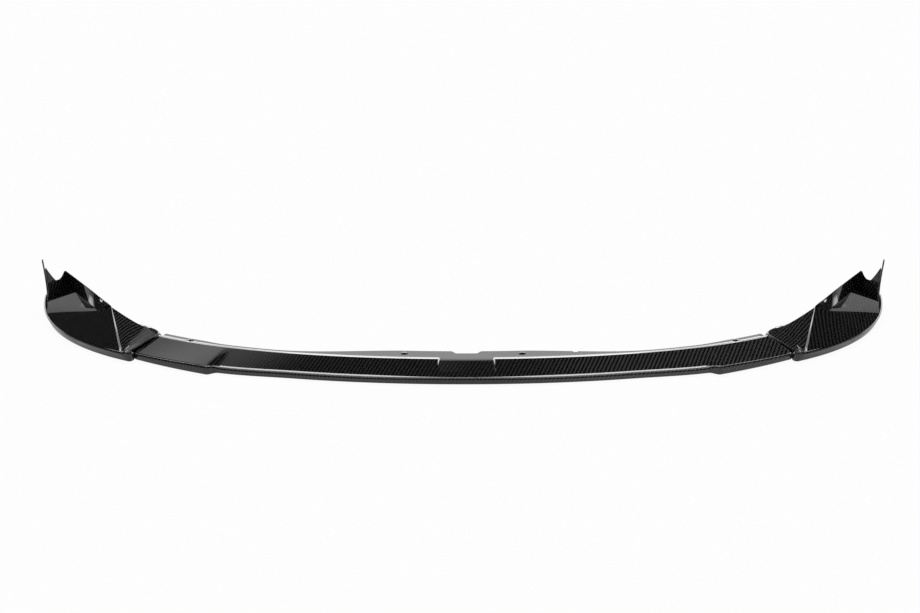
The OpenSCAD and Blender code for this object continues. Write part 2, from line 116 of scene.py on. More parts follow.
# %% Curves of the centre splitter
STEP_X, STEP_RUN, STEP_OUT, LEAD_OUT = 0.543 * HALF_SPAN, 24, 16, 8
JOINT_FRONT_X, JOINT_REAR_X = 0.736 * HALF_SPAN, 0.6945 * HALF_SPAN
PANEL_DEPTH, CREST_SWEEP, CREST_HALF, CREST_FULLNESS = 84, 777, 0.934 * HALF_SPAN, 4
CREST_H, CREST_END_H = 24, 19.5
BAND_H, BAND_RISE, TONGUE_LEN = 15.5, 4, 26
RECESS_W, RECESS_WALL_W, RECESS_DEPTH, RECESS_SHIFT, RECESS_START = 124, 5, 4, 7, 0.26
FLANGE_W, FLANGE_WAIST_W, FLANGE_END_W, FLANGE_DROP = 57, 21, 27, 4.5
FLANGE_RUN, FLANGE_FALL, CREST_STEP = 12, 0.055, 1.2
DIP_DEPTH, DIP_W, DIP_SLOPE = 14, 66, 12
BOLT_INNER_X, BOLT_OUTER_X = 0.132 * HALF_SPAN, 0.622 * HALF_SPAN
WAIST_PLACES = [share * BOLT_OUTER_X for share in (0.2, 0.7, 0.86, 1)]
LIP_W, CHAMFER_W, CHAMFER_SLOPE = 30, 4.6, 0.287


def front_fill(x):
    past = max(0, (x - STEP_X - STEP_RUN) / (JOINT_FRONT_X - STEP_X - STEP_RUN))
    filled = LEAD_OUT * ease(x, 0.37 * HALF_SPAN, STEP_X) + STEP_OUT * ease(x, STEP_X, STEP_X + STEP_RUN)
    return filled * mix(1, 0.25, past)


def front_y(x):
    return swept(x, HALF_SPAN, SWEEP, FULLNESS) - front_fill(abs(x))


def crest_y(x):
    return PANEL_DEPTH + swept(x, CREST_HALF, CREST_SWEEP, CREST_FULLNESS)


def crest_z(x):
    return mix(CREST_H, CREST_END_H, (x / JOINT_REAR_X) ** 2)


def band_z(x):
    rise = ease(abs(x), STEP_X, STEP_X + STEP_RUN)
    return BAND_H + BAND_RISE * rise * (1 - ease(abs(x), STEP_X + STEP_RUN, JOINT_FRONT_X + TONGUE_LEN))


def flange_depth(x):
    a, w = abs(x), WAIST_PLACES
    depth = mix(FLANGE_W, FLANGE_WAIST_W, ease(a, w[0], w[1]))
    depth += (FLANGE_END_W - FLANGE_WAIST_W) * ease(a, w[2], w[3])
    return depth - DIP_DEPTH * (1 - ease(abs(x - RECESS_SHIFT), DIP_W / 2 - DIP_SLOPE, DIP_W / 2))


def recess(x, s):
    inside = 1 - ease(abs(x - RECESS_SHIFT), RECESS_W / 2 - RECESS_WALL_W, RECESS_W / 2)
    return RECESS_DEPTH * max(0, (s - RECESS_START) / (1 - RECESS_START)) * inside


def chamfer(x):
    """Width of the small chamfer above the crown, which runs between the recess and the steps."""
    return 0.4 + CHAMFER_W * ease(x, 20, 200) * (1 - ease(x, STEP_X - 6, STEP_X + 4))


print("front edge at the joint", round(front_y(JOINT_FRONT_X), 1), "crest", round(crest_y(JOINT_REAR_X), 1))


# %% [markdown]
# Every section starts at the inner edge of the flat return lip under the part, turns up round the
# lower edge, rises up the band and turns over the crown. The two turns are drawn as fine arcs,
# because a lacquered edge shows its light as one clean line only when the arc has no flats.

# %% Sections of the centre splitter
LOWER_STEPS, CROWN_STEPS = 5, 7


def quarter(steps):
    return [math.pi / 2 * i / steps for i in range(steps + 1)]


def band_section(lip, lean, top):
    lower = [(EDGE_R * (1 - math.sin(a)), EDGE_R * (1 - math.cos(a))) for a in quarter(LOWER_STEPS)]
    crown = [(-lean + CROWN_R * (1 - math.cos(a)), top - CROWN_R * (1 - math.sin(a)))
             for a in quarter(CROWN_STEPS)]
    return [(lip, 0), (mix(lip, EDGE_R, 0.9), 0)] + lower + crown


def softened(points, corner, radius, steps):
    """Replaces one corner of a line of points by a short curve."""
    a, b, c = (Vector(points[corner + k]) for k in (-1, 0, 1))
    reach_a, reach_c = (min(radius, (p - b).length * 0.45) for p in (a, c))
    start, end = b + (a - b).normalized() * reach_a, b + (c - b).normalized() * reach_c
    curve = [bend(start, b, end, k / steps) for k in range(steps + 1)]
    return list(points[:corner]) + curve + list(points[corner + 1:])


CHAMFER_SHARES = (0.15, 0.5, 0.85)
TOP_SHARES = (0, 0.01, 0.05, 0.12, 0.255, 0.28, 0.4, 0.52, 0.64, 0.76, 0.88, 0.97)
CREST_TURN = 4


def centre_section(x):
    front = Vector((x, front_y(x), 0))
    rear_x = x * JOINT_REAR_X / JOINT_FRONT_X
    rear = Vector((rear_x, crest_y(rear_x), 0))
    way, length = (rear - front).normalized(), (rear - front).length
    top, crest = band_z(x), crest_z(rear_x)
    edge, wide = CROWN_R - BAND_LEAN, chamfer(abs(x))
    begin, turn = edge + wide, length - CREST_TURN
    slope = [(edge + wide * k, top - wide * (1 - k) * CHAMFER_SLOPE) for k in CHAMFER_SHARES]
    panel = [(mix(begin, turn, s), mix(top, crest, s) - recess(x, s)) for s in TOP_SHARES]
    depth = flange_depth(rear_x)
    foot, fall = crest - FLANGE_DROP, FLANGE_FALL * (depth - FLANGE_RUN)
    rear_part = [(turn, crest - recess(x, 1)), (length, min(crest - CREST_STEP, crest - recess(x, 1))),
                 (length + FLANGE_RUN, foot), (length + mix(FLANGE_RUN, depth, 0.5), foot - fall / 2),
                 (length + depth, foot - fall)]
    line = band_section(LIP_W, BAND_LEAN, top - wide * CHAMFER_SLOPE) + slope + panel + rear_part
    return [Vector((front.x + way.x * d, front.y + way.y * d, z)) for d, z in line]


def spread(start, end, count):
    return [mix(start, end, i / count) for i in range(count + 1)]


side_places = sorted(set(
    spread(RECESS_W / 2 + 2, STEP_X - 4, 34) + spread(STEP_X - 4, STEP_X + STEP_RUN + 6, 24)
    + spread(STEP_X + STEP_RUN + 6, JOINT_FRONT_X, 16)))
half_recess = RECESS_W / 2
inner_places = sorted(set(
    spread(0, DIP_W / 2 - DIP_SLOPE - 1, 4) + spread(DIP_W / 2 - DIP_SLOPE - 1, DIP_W / 2 + 1, 8)
    + spread(DIP_W / 2 + 1, half_recess - RECESS_WALL_W - 1, 4)
    + [half_recess - RECESS_WALL_W + d for d in range(RECESS_WALL_W + 1)]))
recess_places = [-x for x in reversed(inner_places[1:])] + inner_places
centre_places = ([-x for x in reversed(side_places) if x > half_recess - RECESS_SHIFT + 1]
                 + [RECESS_SHIFT + x for x in recess_places]
                 + [x for x in side_places if x > half_recess + RECESS_SHIFT + 1])
centre_rows = [centre_section(x) for x in centre_places]
print("sections", len(centre_rows), "of", len(centre_rows[0]), "points")


# %% [markdown]
# Each moulding is a thin sheet of laminate with a glossy outer side, a plain inner side and a cut rim.
# A Solidify modifier could give the wall, but in tight corners its inner side folds through itself.
# So both sides are laid as grids: the outer one from the sections, and the inner one from the same
# sections moved in along their normals. The two are then joined and bridged along their open edges,
# and the rim is bevelled a little, as it is when a cut laminate is sanded.


# %% Lay a sheet over a set of sections
def deselect():
    if bpy.context.mode != "OBJECT":
        bpy.ops.object.mode_set(mode="OBJECT")
    bpy.ops.object.select_all(action="DESELECT")


def only(*pieces):
    deselect()
    for piece in pieces:
        piece.select_set(True)
    bpy.context.view_layer.objects.active = pieces[0]


def edit(piece, mode="FACE"):
    only(piece)
    bpy.ops.object.mode_set(mode="EDIT")
    bpy.ops.mesh.select_mode(type=mode)


def done():
    bpy.ops.object.mode_set(mode="OBJECT")


def to_frame(p):
    return (p.x * MM, (p.y - BACK) * MM, p.z * MM)


def lining(rows, thickness):
    """The inner side of a sheet: every point moves in along the mean normal of the faces round it."""
    last_row, last = len(rows) - 1, len(rows[0]) - 1
    normals = [[(rows[i + 1][j + 1] - rows[i][j]).cross(rows[i][j + 1] - rows[i + 1][j]).normalized()
                for j in range(last)] for i in range(last_row)]
    inner = []
    for i, row in enumerate(rows):
        line = []
        for j, p in enumerate(row):
            near = [normals[a][b] for a in (i - 1, i) for b in (j - 1, j)
                    if 0 <= a < last_row and 0 <= b < last]
            mean = sum(near, Vector((0, 0, 0))) / len(near)
            p = p - mean / max(mean.length_squared, SHARPEST) * thickness
            line.append(Vector((p.x, p.y, max(0, p.z))))
        inner.append(line)
    return inner


def unfolded(rows, start, turn):
    """Where each point lies on the flat cloth: unrolled both ways from the point `start` of its section."""
    cloth = []
    for row in rows:
        inward = flat(row[start] - row[start - 1]).normalized()
        way = flat(row[turn] - row[start]).normalized()
        spots = {start: flat(row[start])}
        for j in range(start + 1, len(row)):
            spots[j] = spots[j - 1] + way * (row[j] - row[j - 1]).length
        for j in range(start - 1, -1, -1):
            spots[j] = spots[j + 1] - inward * (row[j] - row[j + 1]).length
        cloth += [spots[j] for j in range(len(row))]
    return cloth


def lay_grid(name, rows):
    deselect()
    bpy.ops.mesh.primitive_grid_add(x_subdivisions=len(rows[0]) - 1, y_subdivisions=len(rows) - 1, size=1)
    side = bpy.context.object
    side.name = side.data.name = name
    for vertex, p in zip(side.data.vertices, [p for row in rows for p in row]):
        vertex.co = to_frame(p)
    return side


def lay_sheet(name, rows, inner, cloth, rim=0.35):
    outer, back = lay_grid(name, rows), lay_grid(name + "_back", inner)
    only(outer, back)
    bpy.ops.object.join()
    edit(outer, "EDGE")
    bpy.ops.mesh.select_all(action="DESELECT")
    bpy.ops.mesh.select_non_manifold(extend=False, use_wire=False, use_boundary=True, use_multi_face=False,
                                     use_non_contiguous=False, use_verts=False)
    bpy.ops.mesh.bridge_edge_loops()
    done()
    spots = [(p.x * MM, p.y * MM) for p in cloth] * 2
    for loop, corner in zip(outer.data.loops, outer.data.uv_layers.active.data):
        corner.uv = spots[loop.vertex_index]
    edit(outer, "FACE")
    bpy.ops.mesh.region_to_loop()
    bpy.ops.mesh.bevel(offset=rim * MM, segments=2, affect="EDGES", clamp_overlap=False)
    bpy.ops.mesh.select_all(action="SELECT")
    bpy.ops.mesh.normals_make_consistent(inside=False)
    done()
    open_edges = sum(1 for count in edge_uses(outer).values() if count != 2)
    print(name, len(outer.data.polygons), "faces,", open_edges, "open edges")
    return outer


def edge_uses(piece):
    uses = {}
    for face in piece.data.polygons:
        for key in face.edge_keys:
            uses[key] = uses.get(key, 0) + 1
    return uses


def smooth(piece, degrees):
    only(piece)
    bpy.ops.object.shade_smooth_by_angle(angle=math.radians(degrees))


def finished(line, corners):
    for corner, radius in sorted(corners, reverse=True):
        line = softened(line, corner, radius, FOLD_STEPS)
    return line


SHARPEST, FOLD_STEPS = 0.25, 4
BAND_COUNT = len(band_section(LIP_W, BAND_LEAN, BAND_H))
centre_back = lining(centre_rows, WALL)
flange_corners = [(len(centre_rows[0]) - 5, 3), (len(centre_rows[0]) - 4, 3), (len(centre_rows[0]) - 3, 5)]
centre_rows = [finished(row, flange_corners) for row in centre_rows]
centre_back = [finished(row, flange_corners) for row in centre_back]
centre = lay_sheet("centre_splitter_skin", centre_rows, centre_back,
                   unfolded(centre_rows, BAND_COUNT, BAND_COUNT + 14))

# %% [markdown]
# The bumper bolts to the rear flange at four places. Each hole has a low round pad that keeps the
# washer off the lacquer, and two notches in the rear edge find the bumper's pegs. The pads are turned
# discs with a softened rim, united with the flange, and the holes are cut through both afterwards.
# The joint screws come up from below, so their holes in the return lips are cut with a cone.

# %% Bolt pads, holes and notches
joint_front = Vector((JOINT_FRONT_X, front_y(JOINT_FRONT_X), 0))
joint_rear = Vector((JOINT_REAR_X, crest_y(JOINT_REAR_X), 0))
joint_in = (joint_rear - joint_front).normalized()
joint_out = -left_of(joint_in)
BOLT_INNER_BACK, BOLT_OUTER_BACK, HOLE_D, PAD_D, PAD_RISE, PAD_RIM = 38, 17, 6.5, 15, 0.8, 0.4
NOTCH_X, NOTCH_D = 0.252 * HALF_SPAN, 12
bolts = []
for x, back in ((BOLT_INNER_X, BOLT_INNER_BACK), (BOLT_OUTER_X, BOLT_OUTER_BACK)):
    z = crest_z(x) - FLANGE_DROP - FLANGE_FALL * (back - FLANGE_RUN)
    bolts += [Vector((side * x, crest_y(x) + back, z)) for side in (-1, 1)]


def round_bar(p, low, high, diameter, rim=0):
    deselect()
    bpy.ops.mesh.primitive_cylinder_add(vertices=48, radius=diameter / 2 * MM, depth=(high - low) * MM,
                                        location=(p.x * MM, (p.y - BACK) * MM, (low + high) / 2 * MM))
    bar = bpy.context.object
    bpy.ops.object.transform_apply(location=True, rotation=True, scale=True)
    if rim:
        edit(bar, "EDGE")
        bpy.ops.mesh.select_all(action="DESELECT")
        done()
        for line in bar.data.edges:
            line.select = all(bar.data.vertices[v].co.z > (high - 0.1) * MM for v in line.vertices)
        bpy.ops.object.mode_set(mode="EDIT")
        bpy.ops.mesh.bevel(offset=rim * MM, segments=3, affect="EDGES")
        done()
    return bar


def combine(piece, tools, operation):
    only(*tools)
    if len(tools) > 1:
        bpy.ops.object.join()
    tool = bpy.context.object
    only(piece)
    cut = piece.modifiers.new(operation.lower(), "BOOLEAN")
    cut.operation, cut.object, cut.solver, cut.use_self = operation, tool, "EXACT", False
    bpy.ops.object.modifier_apply(modifier=cut.name)
    only(tool)
    bpy.ops.object.delete()
    print(piece.name, operation, len(piece.data.polygons), "faces")


def countersink(p):
    """A cone that cuts the hole of a countersunk screw in from below."""
    deselect()
    low, high = -CONE_BELOW, CONE_DEPTH - CONE_BELOW
    bpy.ops.mesh.primitive_cone_add(
        vertices=48, radius1=(HEAD_D / 2 + CONE_BELOW) * MM, radius2=(HEAD_D / 2 - high) * MM,
        depth=CONE_DEPTH * MM, location=(p.x * MM, (p.y - BACK) * MM, (low + high) / 2 * MM))
    bpy.ops.object.transform_apply(location=True, rotation=True, scale=True)
    return bpy.context.object


def screw_place(along_joint, side=1):
    p = joint_front + joint_out * along_joint + joint_in * SCREW_BACK
    return Vector((side * p.x, p.y, 0))


HEAD_D, CONE_DEPTH, CONE_BELOW, SCREW_BACK, SCREW_SPOTS = 9.8, 3.6, 0.5, 16.5, (12, 28)
combine(centre, [round_bar(b, b.z - WALL, b.z + PAD_RISE, PAD_D, PAD_RIM) for b in bolts], "UNION")
cutters = [round_bar(b, 0, CREST_H + 5, HOLE_D) for b in bolts]
notch_back = crest_y(NOTCH_X) + flange_depth(NOTCH_X)
cutters += [round_bar(Vector((side * NOTCH_X, notch_back, 0)), 0, CREST_H + 5, NOTCH_D) for side in (-1, 1)]
cutters += [countersink(screw_place(-spot, side)) for spot in SCREW_SPOTS for side in (-1, 1)]
combine(centre, cutters, "DIFFERENCE")

# %% [markdown]
# At each end a short tongue carries the top panel on under the blade, a little lower, so that the two
# mouldings overlap there as roof tiles do. It is a sheet of its own, bonded under the end of the panel.

# %% Tongues under the blades
TONGUE_DROP = 0.8


def tongue(side):
    rows = []
    for reach, drop in ((-TONGUE_LEN / 2, WALL / 2), (0, TONGUE_DROP), (TONGUE_LEN, TONGUE_DROP)):
        line = []
        for share in spread(0.1, 0.88, 8):
            p = mix(joint_front, joint_rear, share) + joint_out * reach
            z = mix(band_z(JOINT_FRONT_X), crest_z(JOINT_REAR_X), share)
            line.append(Vector((side * p.x, p.y, z - drop)))
        rows.append(line[::side])
    return lay_sheet("tongue", rows, lining(rows, WALL), [flat(p) for row in rows for p in row])


only(centre, tongue(1), tongue(-1))
bpy.ops.object.join()
print(centre.name, len(centre.data.polygons), "faces with its tongues")

# %% [markdown]
# The blades are folded out of a few flat facets: one that rises from the joint to the ridge, the
# great front facet, and the platform with the wall behind it. The ridge between the first two stands
# up as a narrow sloping strip, because the facet beside it is sunk a little. The sections of a blade
# follow the outline of the car's corner, given by an angle round the outline, and all lean out a
# little towards the front.

# %% Curves of an end blade
LIP_H, PLATFORM_H, PEAK_H, NOTCH_H, SHOULDER_H = 112, 45, 84, 67, 23
RIDGE_H, RIDGE_FOOT_W, RIDGE_TOP_W, RIDGE_SLOPE = 55, 9, 3, 0.8
BLADE_BAND_H, BLADE_RISE, BLADE_LEAN, BLADE_OUT, BLADE_LIP_W, CORNER_LIP_W = 21, 5, 6, 22, 42, 5
JOINT_ANGLE, RIDGE_ANGLE, CREASE_ANGLE, REAR_ANGLE = 47.9, 48.5, 74, 86
GAP, RETURN_REACH, RETURN_DROP, EAR_REACH, EAR_LIFT, RIDGE_SHARE = 0.3, 6, 4.5, 10, 1, 0.93


def place(across, back, z):
    return Vector((across * HALF_SPAN, back * SWEEP, z))


ridge_top, platform_corner = place(0.815, 0.579, RIDGE_H), place(0.846, 0.566, PLATFORM_H * 1.04)
platform_rear = place(0.944, 0.885, PLATFORM_H * 0.86)
upper_mid = place(0.84, 0.632, mix(RIDGE_H, PEAK_H, 0.155))
upper_bend = place(0.875, 0.688, mix(RIDGE_H, PEAK_H, 0.65))
peak, notch_mid = place(0.949, 0.857, PEAK_H), place(0.965, 0.823, NOTCH_H)
fin_foot, fin_tip = place(0.984, 0.785, PLATFORM_H * 0.6), place(0.996, 0.823, LIP_H)
wall_bend = place(0.978, 0.811, PLATFORM_H * 0.67)
joint_fold, ear_top = place(0.7015, 0.411, SHOULDER_H * 1.1), place(0.714, 0.468, SHOULDER_H * 1.22)
upper_points = [ear_top, place(0.728, 0.481, SHOULDER_H * 1.17), place(0.743, 0.491, SHOULDER_H * 1.34),
                place(0.771, 0.511, RIDGE_H * 0.78), ridge_top]


def outline_at(a):
    a = math.radians(a)
    return Vector((HALF_SPAN * math.sin(a), SWEEP * (1 - math.cos(a) ** (2 / FULLNESS)), 0))


def outward_at(a):
    return -left_of((outline_at(a + 0.1) - outline_at(a - 0.1)).normalized())


def blade_front(a):
    return outline_at(a) + outward_at(a) * BLADE_OUT * (1 - ease(a, JOINT_ANGLE, REAR_ANGLE))


def along(points, s):
    """A smooth curve through a list of points."""
    last = len(points) - 1
    i = min(last - 1, int(s * last))
    u = s * last - i
    a, b, c, d = points[max(0, i - 1)], points[i], points[i + 1], points[min(last, i + 2)]
    return (2 * b + (c - a) * u + (2 * a - 5 * b + 4 * c - d) * u ** 2 + (3 * b - a - 3 * c + d) * u ** 3) / 2


def inward_of(f, inward, reach, z):
    return Vector((f.x + inward.x * reach, f.y + inward.y * reach, z))


PANEL_SHARES = (0.03, 0.1, 0.22, 0.36, 0.5, 0.64, 0.78, 0.9, 0.975)
WALL_SHARES = (0.1, 0.37, 0.63, 0.9)


def blade_section(front, inward, lip, lean, top, fold, crest, back=RETURN_REACH, down=RETURN_DROP):
    start = inward_of(front, inward, CROWN_R - lean, top)
    fold = mix(start, crest, fold) if isinstance(fold, float) else fold
    away = flat(crest - start).normalized()
    band = [inward_of(front, inward, reach, z) for reach, z in band_section(lip, lean, top)]
    return (band + [mix(start, fold, s) for s in PANEL_SHARES] + [fold]
            + [mix(fold, crest, s) for s in WALL_SHARES] + [crest]
            + [inward_of(crest, away, back * s, crest.z - down * s) for s in (0.5, 1)])


# %% [markdown]
# Between the joint and the first facet the blade stands on the centre splitter, so its first sections
# begin on the joint line and turn over into the facet. They also carry the rounded front corner.
# The inner side is laid thicker in that corner, as a laminator fills a tight inside corner.

# %% Sections of an end blade
foot_front = joint_front + joint_out * GAP - joint_in * (BAND_LEAN + GAP)
foot_fold = joint_rear + Vector((0, 0, crest_z(JOINT_REAR_X) + GAP))
foot_crest = joint_rear + Vector((-joint_in.y * CREST_STEP, 4, crest_z(JOINT_REAR_X)))


def meet(p, d, q, e):
    return p + d * ((q - p).dot(left_of(e)) / d.dot(left_of(e)))


corner_front = meet(foot_front, joint_in, blade_front(JOINT_ANGLE), left_of(outward_at(JOINT_ANGLE)))
JOINT_ROWS, INNER_ROWS, FRONT_ROWS, PLATFORM_ROWS = 10, 26, 22, 24
CORNER_SHARE, JOINT_TURN = 0.7, 4.5


def turned(a, b, s, up):
    return Vector((mix(a.x, b.x, s), mix(a.y, b.y, s), mix(a.z, b.z, up)))


def joint_section(s):
    up = 1 - (1 - s) ** JOINT_TURN
    return blade_section(bend(foot_front, corner_front, blade_front(JOINT_ANGLE), s),
                         mix(joint_out, -outward_at(JOINT_ANGLE), s).normalized(), CORNER_LIP_W,
                         mix(0, BLADE_LEAN, s), mix(band_z(JOINT_FRONT_X) + GAP, SHOULDER_H, up),
                         turned(foot_fold, joint_fold, s, up), turned(foot_crest, ear_top, s, up))


def inner_section(s):
    a, top = mix(JOINT_ANGLE, RIDGE_ANGLE, s), mix(SHOULDER_H, BLADE_BAND_H, s)
    front, inward, crest = blade_front(a), -outward_at(a), along(upper_points, s)
    line_end = mix(inward_of(front, inward, CROWN_R - BLADE_LEAN, top), crest, RIDGE_SHARE)
    ear = ease(s, 0, 0.2) * (1 - ease(s, 0.35, 0.7))
    fold = mix(joint_fold, line_end, ease(s, 0, 0.35))
    return blade_section(front, inward, BLADE_LIP_W, BLADE_LEAN, top, fold, crest,
                         mix(RETURN_REACH, EAR_REACH, ear), mix(RETURN_DROP, EAR_LIFT, ear))


ridge_turn = math.degrees(RIDGE_FOOT_W / HALF_SPAN / math.cos(math.radians(RIDGE_ANGLE)))
ridge_side = ridge_top + (upper_mid - ridge_top).normalized() * RIDGE_TOP_W
front_a = RIDGE_ANGLE + ridge_turn
front_start = inward_of(blade_front(front_a), -outward_at(front_a), CROWN_R - BLADE_LEAN, BLADE_BAND_H)


def front_section(s):
    a = mix(front_a, CREASE_ANGLE, s)
    return blade_section(blade_front(a), -outward_at(a), BLADE_LIP_W, BLADE_LEAN, BLADE_BAND_H,
                         mix(mix(front_start, ridge_side, RIDGE_SHARE), platform_corner, s),
                         mix(ridge_side, upper_mid, s))


def platform_section(s):
    a = mix(CREASE_ANGLE, REAR_ANGLE, s)
    return blade_section(blade_front(a), -outward_at(a), BLADE_LIP_W, BLADE_LEAN,
                         BLADE_BAND_H + BLADE_RISE * s, mix(platform_corner, platform_rear, s),
                         bend(upper_mid, upper_bend, peak, s))


def across_fold(rows, row, radius, steps):
    """Rounds the fold along one section of a grid, by softening every line that runs across it."""
    lines = [softened([r[j] for r in rows], row, radius, steps) for j in range(len(rows[0]))]
    return [list(r) for r in zip(*lines)]


def beside_ridge(row, s):
    """Sinks the inner facet beside the ridge, so that the ridge stands up as a bright strip."""
    line = list(row)
    for j in range(BAND_COUNT, len(row)):
        t = min(1, (row[j] - row[BAND_COUNT]).length / (row[CREST] - row[BAND_COUNT]).length)
        sink = RIDGE_SLOPE * mix(RIDGE_FOOT_W, RIDGE_TOP_W, t) * ease(t, -0.1, 0.08) * ease(s, 0.3, 1)
        line[j] = row[j] - Vector((0, 0, sink))
    return line


FOLD, CREST = BAND_COUNT + len(PANEL_SHARES), BAND_COUNT + len(PANEL_SHARES) + 1 + len(WALL_SHARES)
joint_rows = [joint_section(i / JOINT_ROWS) for i in range(JOINT_ROWS)]
plain_rows = ([beside_ridge(inner_section(i / INNER_ROWS), i / INNER_ROWS) for i in range(INNER_ROWS + 1)]
              + [front_section(i / FRONT_ROWS) for i in range(FRONT_ROWS + 1)]
              + [platform_section(i / PLATFORM_ROWS) for i in range(1, PLATFORM_ROWS + 1)])
plain_back = lining(plain_rows, WALL)
joint_back = [[plain_back[0][j] + (p - plain_rows[0][j]) * CORNER_SHARE for j, p in enumerate(row)]
              for row in joint_rows]
ridge_row, crease_row = len(joint_rows) + INNER_ROWS, len(joint_rows) + INNER_ROWS + 1 + FRONT_ROWS


def rounded(rows):
    rows = [finished(row, [(FOLD, 2.5), (CREST, 1.5)]) for row in rows]
    for row, radius in ((crease_row, 3), (ridge_row + 1, 1), (ridge_row, 1)):
        rows = across_fold(rows, row, radius, 3)
    return rows


blade_rows, blade_back = rounded(joint_rows + plain_rows), rounded(joint_back + plain_back)
print("blade sections", len(blade_rows), "of", len(blade_rows[0]), "points")

# %% [markdown]
# The fin and the wall with the rounded notch are bonded to the end of the platform. Each is a sheet of
# its own that stands a little way inside its neighbour.

# %% Fin and rear wall
fin_front = [Vector((fin_foot.x, fin_foot.y, PLATFORM_H * 0.55)), place(0.988, 0.812, LIP_H * 0.47),
             place(0.993, 0.823, LIP_H * 0.79), fin_tip]
fin_rear = [place(0.997, 0.88, BLADE_BAND_H - WALL / 2), place(0.998, 0.88, LIP_H * 0.47),
            place(0.999, 0.866, LIP_H * 0.79), place(0.998, 0.84, LIP_H)]
FIN_T, FIN_ROWS, FIN_COLUMNS, REAR_ROWS, REAR_COLUMNS = 3, 22, 6, 30, 10
NOTCH_SHARE, WALL_TURN, LOBE_SHARE, LOBE_H, SLIT_SHARE = 0.56, 0.8, 0.95, 98, 0.5
fin_rows = [[mix(along(fin_front, i / FIN_ROWS), along(fin_rear, i / FIN_ROWS), k / FIN_COLUMNS)
             for k in range(FIN_COLUMNS + 1)] for i in range(FIN_ROWS + 1)]


def notch_z(s):
    if s < NOTCH_SHARE:
        return mix(notch_mid.z, peak.z, (1 - s / NOTCH_SHARE) ** 2.2)
    if s < LOBE_SHARE:
        return mix(notch_mid.z, LOBE_H, ((s - NOTCH_SHARE) / (LOBE_SHARE - NOTCH_SHARE)) ** 1.3)
    return mix(LOBE_H, along(fin_front, SLIT_SHARE).z, (s - LOBE_SHARE) / (1 - LOBE_SHARE))


def rear_line(s):
    into = WALL * (s == 0)
    foot = (mix(platform_rear, wall_bend, s / WALL_TURN) if s < WALL_TURN
            else mix(wall_bend, fin_foot, (s - WALL_TURN) / (1 - WALL_TURN)))
    foot = foot - Vector((into, 0, 2 * WALL))
    edge = bend(flat(peak), 2 * flat(notch_mid) - (flat(peak) + flat(fin_tip)) / 2, flat(fin_tip), s)
    edge = Vector((edge.x - into, edge.y, notch_z(s) - into))
    shares = [k / REAR_COLUMNS for k in range(REAR_COLUMNS + 1)]
    if s == 1:
        return [along(fin_front, share * SLIT_SHARE) + Vector((FIN_T / 2, 0, 0)) for share in shares]
    return [mix(foot, edge, share) for share in shares]


rear_rows = [rear_line(i / REAR_ROWS) for i in range(REAR_ROWS + 1)]


def side_cloth(rows):
    run = [0]
    for last, row in zip(rows, rows[1:]):
        run.append(run[-1] + flat(row[0] - last[0]).length)
    return [Vector((run[i], p.z, 0)) for i, row in enumerate(rows) for p in row]


def joint_lip():
    edge = joint_front + joint_out * GAP
    return [[edge + joint_in * mix(CORNER_LIP_W, LIP_W, i / 4) + joint_out * 15 * k / 3 + Vector((0, 0, WALL))
             for i in range(5)] for k in range(4)]


LIP_HOLE_ANGLES, LIP_HOLE_SHARE, LIP_HOLE_D = (62, 76), 0.68, 5.5
lip_rows = joint_lip()
lip_back = [[flat(p) for p in row] for row in lip_rows]
blade_parts = [
    lay_sheet("end_blade_skin", blade_rows, blade_back, unfolded(blade_rows, BAND_COUNT, FOLD)),
    lay_sheet("end_blade_notch", rear_rows, lining(rear_rows, WALL), side_cloth(rear_rows)),
    lay_sheet("end_blade_fin", fin_rows, lining(fin_rows, FIN_T), side_cloth(fin_rows)),
    lay_sheet("end_blade_lip", lip_rows, lip_back, [flat(p) for row in lip_rows for p in row])]
cutters = [countersink(screw_place(spot)) for spot in SCREW_SPOTS]
for a in LIP_HOLE_ANGLES:
    hole = blade_front(a) - outward_at(a) * BLADE_LIP_W * LIP_HOLE_SHARE
    cutters.append(round_bar(hole, -1, WALL + 1, LIP_HOLE_D))
combine(blade_parts[0], cutters, "DIFFERENCE")
only(*blade_parts)
bpy.ops.object.join()
right_blade = bpy.context.object
right_blade.name = right_blade.data.name = "right_end_blade_skin"
print(right_blade.name, len(right_blade.data.polygons), "faces")

# %% [markdown]
# The other blade is the same moulding turned over. Its mesh is a copy, mirrored by a negative scale in
# edit mode and then given outward normals again. The cloth is cut from the same roll and isn't
# mirrored, so the ribs of the weave run the same way on both blades.

# %% Copy the blade to the other side
only(right_blade)
bpy.ops.object.duplicate()
left_blade = bpy.context.object
left_blade.name = left_blade.data.name = "left_end_blade_skin"
edit(left_blade)
bpy.ops.mesh.select_all(action="SELECT")
bpy.ops.transform.resize(value=(-1, 1, 1), center_override=(0, 0, 0))
bpy.ops.mesh.flip_normals()
done()
for corner in left_blade.data.uv_layers.active.data:
    corner.uv.x = -corner.uv.x


def cut_cloth(blade, side, inner_turn, front_turn):
    """Turns the cloth on each side of the ridge, as when it is laid over a fold, and marks the sides."""
    foot, top = flat(blade_front(RIDGE_ANGLE)) * MM, flat(ridge_top) * MM
    foot.x, top.x = foot.x * side, top.x * side
    spots = blade.data.uv_layers.active.data
    for face in blade.data.polygons:
        corners = [Vector(spots[i].uv) for i in face.loop_indices]
        middle = sum(corners, Vector((0, 0))) / len(corners)
        inner = (middle - foot.xy).dot(left_of(top - foot).xy) * side > 0
        turn = Matrix.Rotation(math.radians(inner_turn if inner else front_turn), 2)
        # the mark picks the brighter painted sheen for the inner facet and the painted shade for the front
        # facets
        face.material_index = 0 if inner else 1
        for i in face.loop_indices:
            spots[i].uv = turn @ (Vector(spots[i].uv) - foot.xy)


cut_cloth(right_blade, 1, 17, -12)
cut_cloth(left_blade, -1, 11, 4)


def keep_inside(piece, low, high):
    for vertex in piece.data.vertices:
        vertex.co = [min(max(v, a), b) for v, a, b in zip(vertex.co, low, high)]


